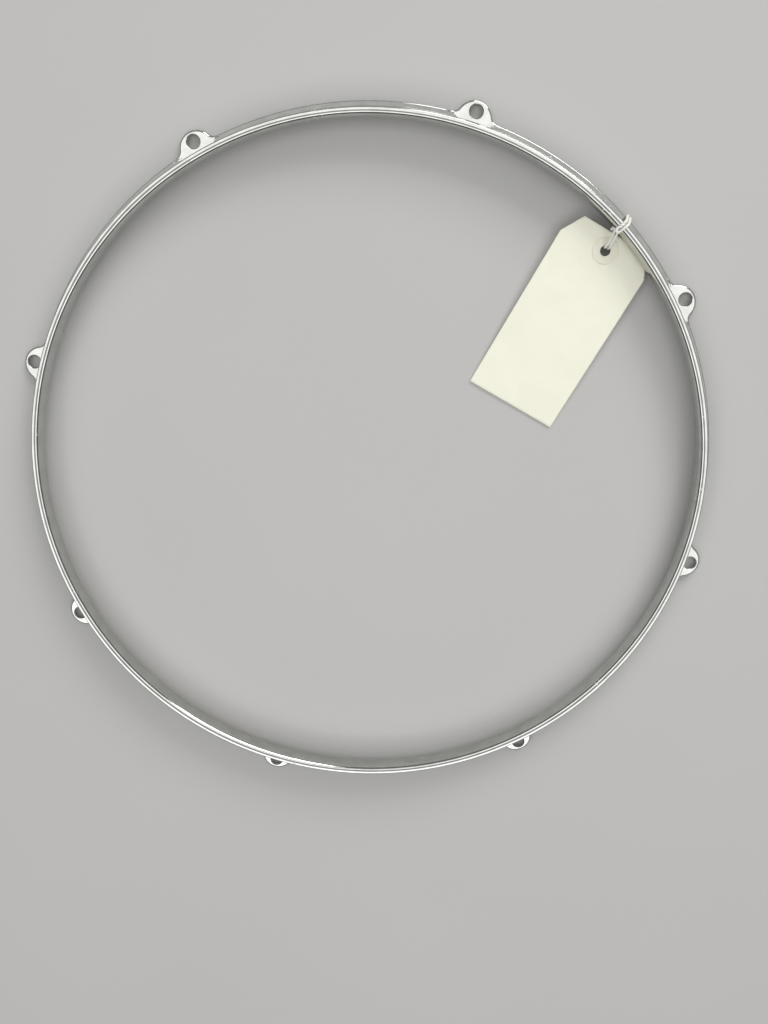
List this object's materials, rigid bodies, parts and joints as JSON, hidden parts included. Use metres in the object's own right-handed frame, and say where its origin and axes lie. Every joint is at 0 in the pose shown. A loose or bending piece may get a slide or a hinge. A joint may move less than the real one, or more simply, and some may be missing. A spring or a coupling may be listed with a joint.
{
  "type": "drum hoop",
  "caption": "Round pressed-steel drum hoop with flanged lip, shoulder and tension-rod ears, and a blank paper tag hitched to its rim with string.",
  "frame": {"origin": "centre of the ring, on the plane that the ears stand on", "axes": "+Z along the ring's axis towards the lip; +X and +Y across the ring, right and up in the picture, with an ear 30 degrees from +X"},
  "size_m": [0.3846, 0.3846, 0.0217],
  "materials": {
    "chrome": "polished chrome plate over pressed steel, with a few nicks and dust specks",
    "cotton": "twisted white cotton string, matte",
    "manila": "uncoated pale manila card, matte with fine fibres",
    "patch": "pressed paper reinforcing patch, matte"
  },
  "bodies": {
    "hoop": {"hoop": "chrome"},
    "string_hitch": {"string_turn_1": "cotton", "string_turn_2": "cotton"},
    "string_bight": {"string_bight": "cotton"},
    "tag": {"string_strand_1": "cotton", "string_strand_2": "cotton", "string_knot": "cotton", "tag_card": "manila", "tag_patch_front": "patch", "tag_patch_back": "patch"}
  },
  "joints": [
    {"name": "string_slide", "type": "hinge", "parent": "hoop", "child": "string_hitch", "pos_m": [0, 0, 0], "axis": [0, 0, 1], "range_deg": [-10, 22]},
    {"name": "tag_swing", "type": "hinge", "parent": "string_hitch", "child": "string_bight", "pos_m": [0.12535, 0.13026, 0.01974], "axis": [-0.7206, 0.6934, 0], "range_deg": [0, 80]},
    {"name": "tag_turn", "type": "hinge", "parent": "string_bight", "child": "tag", "pos_m": [0.12535, 0.13026, 0.01974], "axis": [0, 0, -1], "range_deg": [0, 18]}
  ]
}
